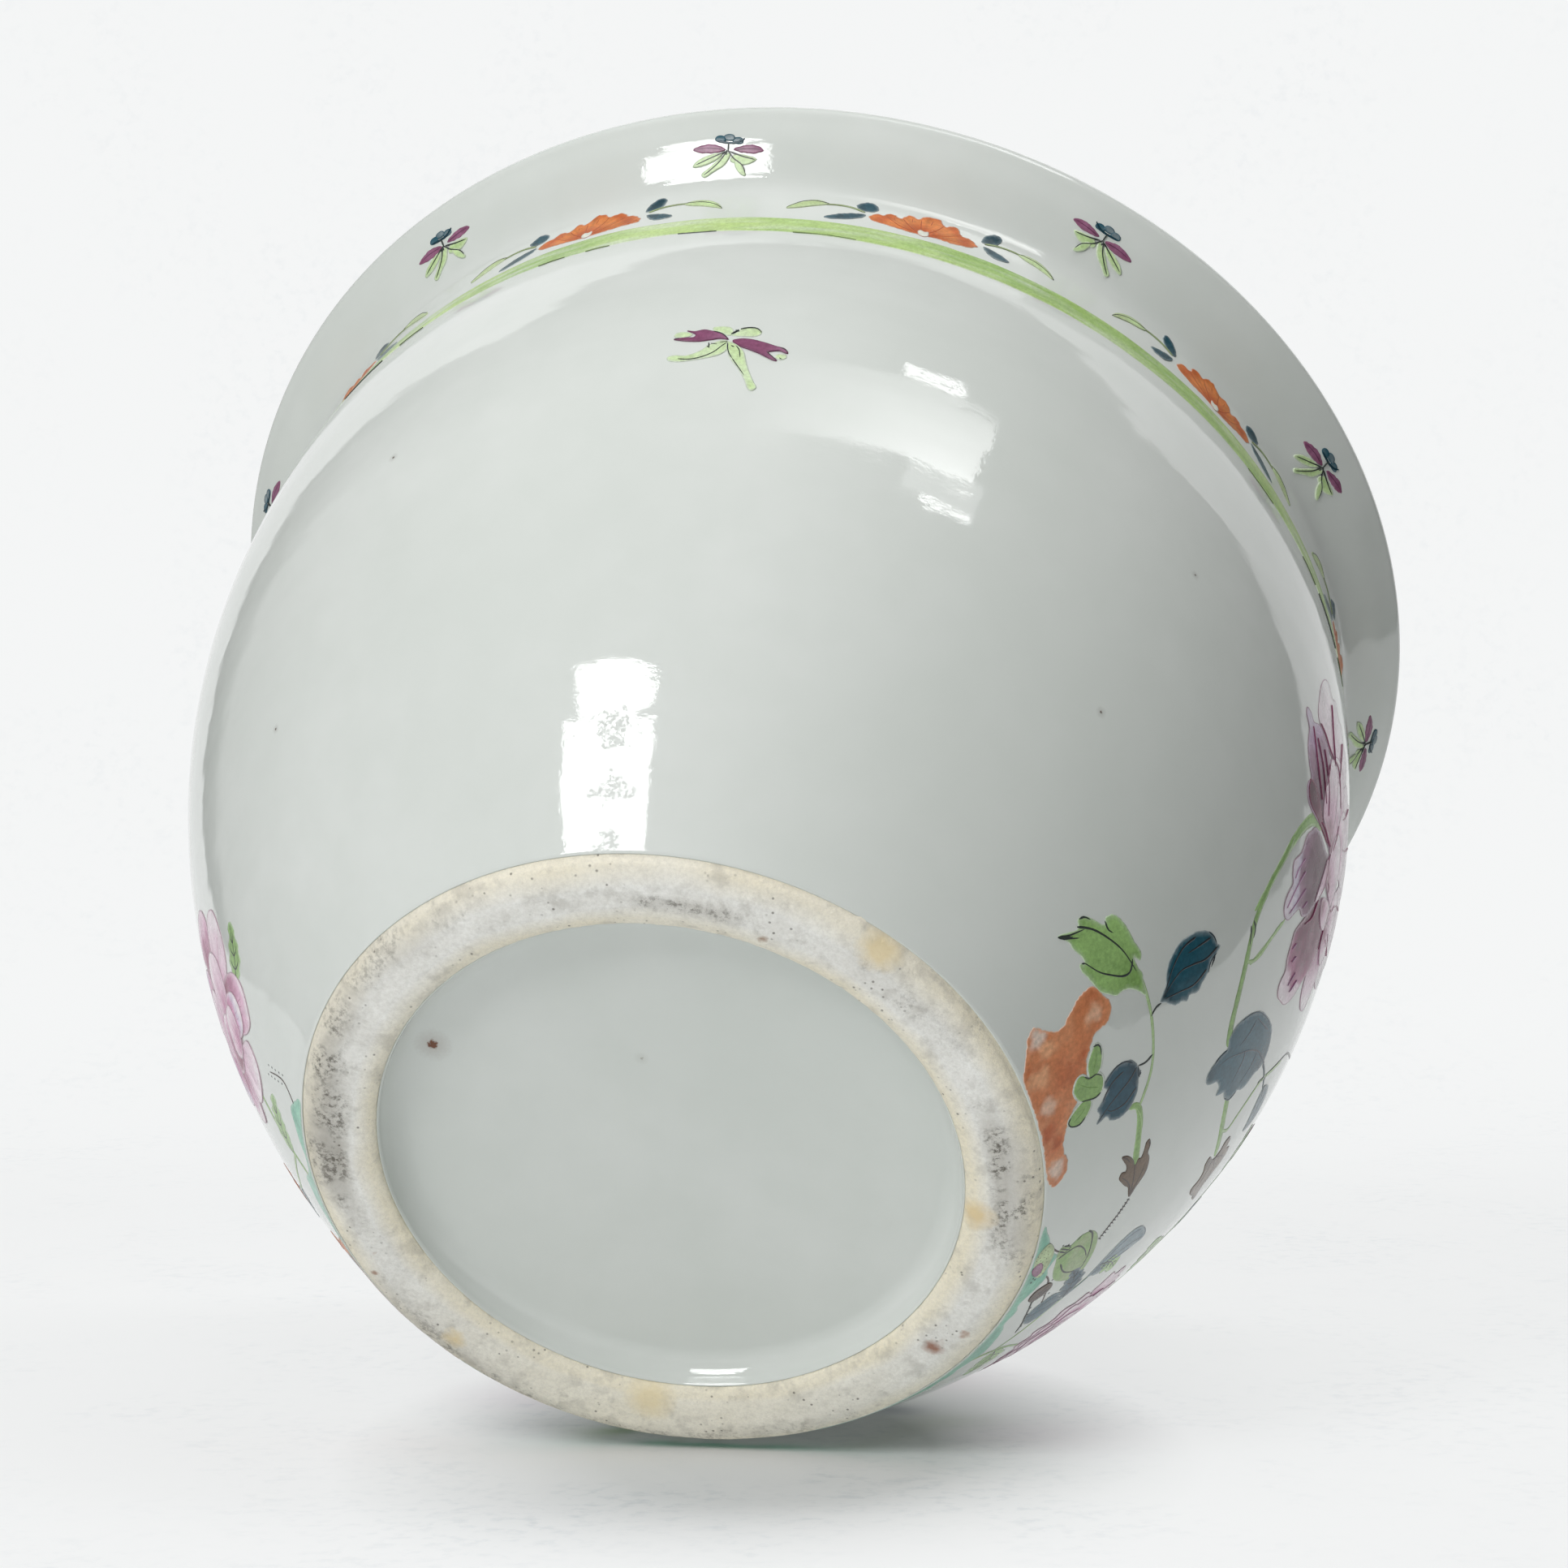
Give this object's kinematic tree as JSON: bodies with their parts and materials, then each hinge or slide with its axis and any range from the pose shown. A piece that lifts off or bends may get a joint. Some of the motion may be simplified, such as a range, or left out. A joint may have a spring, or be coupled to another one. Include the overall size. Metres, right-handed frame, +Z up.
{
  "type": "porcelain jardiniere",
  "caption": "Ovoid glazed porcelain pot on a trimmed foot ring, with an everted rim and painted flower sprays, that holds a plant or a flower pot.",
  "frame": {"origin": "centre of the face that the foot ring stands on", "axes": "+Z up along the pot's axis towards the mouth; -Y is the side with the small shoulder sprig"},
  "size_m": [0.2568, 0.2568, 0.187],
  "materials": {
    "biscuit": "fired porcelain clay under the glaze, warm grey white",
    "foot_biscuit": "bare fired clay, matt and slightly gritty, with orange flashes and grey kiln soot",
    "slip": "fine slip that joins the two thrown sections",
    "glaze": "clear glossy glaze with a cool grey green tint",
    "painted_enamel": "overglaze enamel, translucent and slightly raised, yellow green on the neck band"
  },
  "bodies": {
    "root": {"foot_ring": "foot_biscuit", "base": "biscuit", "lower_body": "biscuit", "luting_slip": "slip", "upper_body": "biscuit", "rim": "biscuit", "exterior_glaze": "glaze", "interior_glaze": "glaze", "base_glaze": "glaze", "neck_band": "painted_enamel"}
  },
  "joints": []
}
